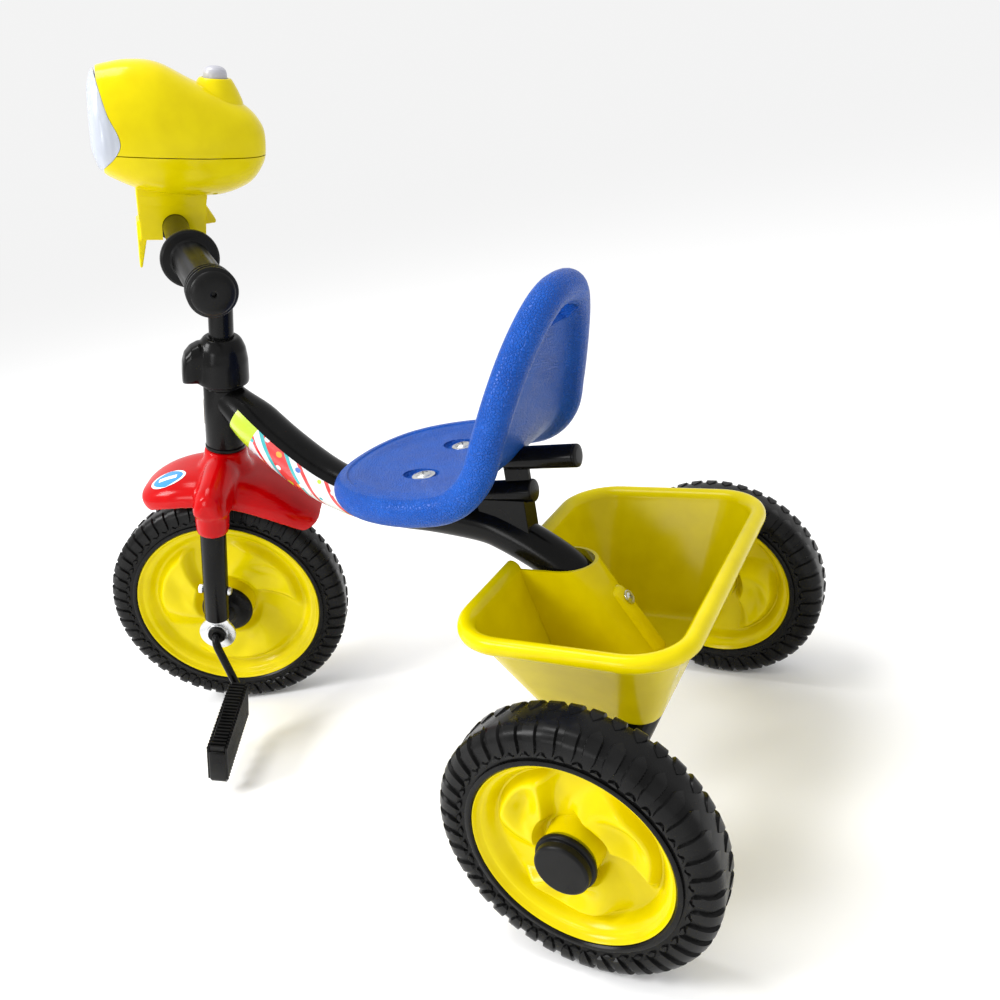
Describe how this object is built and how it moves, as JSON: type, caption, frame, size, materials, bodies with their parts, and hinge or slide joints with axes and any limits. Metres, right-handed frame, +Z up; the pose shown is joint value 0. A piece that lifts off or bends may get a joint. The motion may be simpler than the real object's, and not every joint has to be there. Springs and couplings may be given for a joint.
{
  "type": "children's tricycle",
  "caption": "Child's pedal tricycle: bent-tube frame, moulded seat, rear basket, pedalled and steered front wheel, free rear wheels and a push-button handlebar lamp.",
  "frame": {"origin": "middle of the outer box's base, on the ground", "axes": "+Z up, the tricycle faces -Y, +X is the rider's left"},
  "size_m": [0.4336, 0.6935, 0.6609],
  "materials": {
    "black_paint": "glossy black powder coat",
    "black_plastic": "semi-gloss moulded plastic",
    "zinc_plate": "bright zinc plate",
    "yellow_plastic": "glossy moulded plastic",
    "blue_plastic": "leather-grained moulded plastic",
    "red_plastic": "glossy moulded plastic",
    "black_tyre": "foamed tyre rubber with moulded tread",
    "grey_plastic": "satin moulded plastic",
    "clear_lens": "clear plastic lens",
    "reflector_chrome": "bright metallised plastic",
    "green_board": "solder mask"
  },
  "bodies": {
    "frame": {"head_tube": "black_paint", "head_bush_lower": "black_plastic", "head_bush_upper": "black_plastic", "main_beam": "black_paint", "seat_rail": "black_paint", "socket_tube": "black_paint", "socket_plug": "black_plastic", "socket_plate": "black_paint", "rail_bracket": "black_paint", "rear_axle_tube": "black_paint", "rear_axle": "zinc_plate", "seat": "blue_plastic", "seat_bracket": "black_paint", "seat_bolt_left": "zinc_plate", "seat_bolt_right": "zinc_plate", "seat_nut_left": "zinc_plate", "seat_nut_right": "zinc_plate", "basket": "yellow_plastic"},
    "steering": {"steerer": "black_paint", "fork_crown": "black_paint", "fork_leg_left": "black_paint", "fork_leg_right": "black_paint", "dropout_left": "zinc_plate", "dropout_right": "zinc_plate", "crank_bush_left": "black_plastic", "crank_bush_right": "black_plastic", "dropout_screw_left": "zinc_plate", "dropout_screw_right": "zinc_plate", "dropout_nut_left": "zinc_plate", "dropout_nut_right": "zinc_plate", "fender": "red_plastic"},
    "handlebar": {"stem": "black_paint", "handlebar": "black_paint", "grip_left": "black_plastic", "grip_right": "black_plastic", "clamp_cover": "black_plastic", "stem_clamp": "black_paint", "clamp_bolt": "zinc_plate", "lamp_saddle": "yellow_plastic", "lamp_upper_shell": "yellow_plastic", "lamp_lower_shell": "yellow_plastic", "lamp_lens": "clear_lens", "lamp_reflector": "reflector_chrome", "lamp_circuit_board": "green_board", "lamp_speaker": "black_plastic", "lamp_battery_pack": "grey_plastic"},
    "button": {"lamp_button": "grey_plastic"},
    "front_wheel": {"front_tyre": "black_tyre", "front_rim": "yellow_plastic", "front_hub_disc_left": "black_plastic", "front_hub_disc_right": "black_plastic", "crank": "black_paint"},
    "pedal_left": {"pedal_left": "black_plastic"},
    "pedal_right": {"pedal_right": "black_plastic"},
    "rear_wheel_left": {"rear_tyre_left": "black_tyre", "rear_rim_left": "yellow_plastic", "rear_hub_cap_left": "black_plastic"},
    "rear_wheel_right": {"rear_tyre_right": "black_tyre", "rear_rim_right": "yellow_plastic", "rear_hub_cap_right": "black_plastic"}
  },
  "joints": [
    {"name": "steering_turn", "type": "hinge", "parent": "frame", "child": "steering", "pos_m": [0, -0.2277, 0.1284], "axis": [0, 0.289, 0.9573], "range_deg": [-87, 32]},
    {"name": "handlebar_clamp", "type": "hinge", "parent": "steering", "child": "handlebar", "pos_m": [0, -0.2277, 0.1284], "axis": [0, 0.289, 0.9573], "range_deg": [-50, 15]},
    {"name": "button_press", "type": "slide", "parent": "handlebar", "child": "button", "axis": [0, -0.289, -0.9573], "range_m": [0, 0.003], "stiffness_N_per_m": 400, "springref_m": -0.001},
    {"name": "front_wheel_spin", "type": "hinge", "parent": "steering", "child": "front_wheel", "pos_m": [0, -0.2277, 0.1284], "axis": [0.8878, 0.4406, -0.133], "continuous": true},
    {"name": "pedal_left_spin", "type": "hinge", "parent": "front_wheel", "child": "pedal_left", "pos_m": [-0.01289, -0.22124, 0.06378], "axis": [0.8878, 0.4406, -0.133], "continuous": true},
    {"name": "pedal_right_spin", "type": "hinge", "parent": "front_wheel", "child": "pedal_right", "pos_m": [0.01289, -0.23416, 0.19302], "axis": [0.8878, 0.4406, -0.133], "continuous": true},
    {"name": "rear_wheel_left_spin", "type": "hinge", "parent": "frame", "child": "rear_wheel_left", "pos_m": [0.1853, 0.2466, 0.1], "axis": [1, 0, 0], "continuous": true},
    {"name": "rear_wheel_right_spin", "type": "hinge", "parent": "frame", "child": "rear_wheel_right", "pos_m": [-0.1853, 0.2466, 0.1], "axis": [1, 0, 0], "continuous": true}
  ]
}
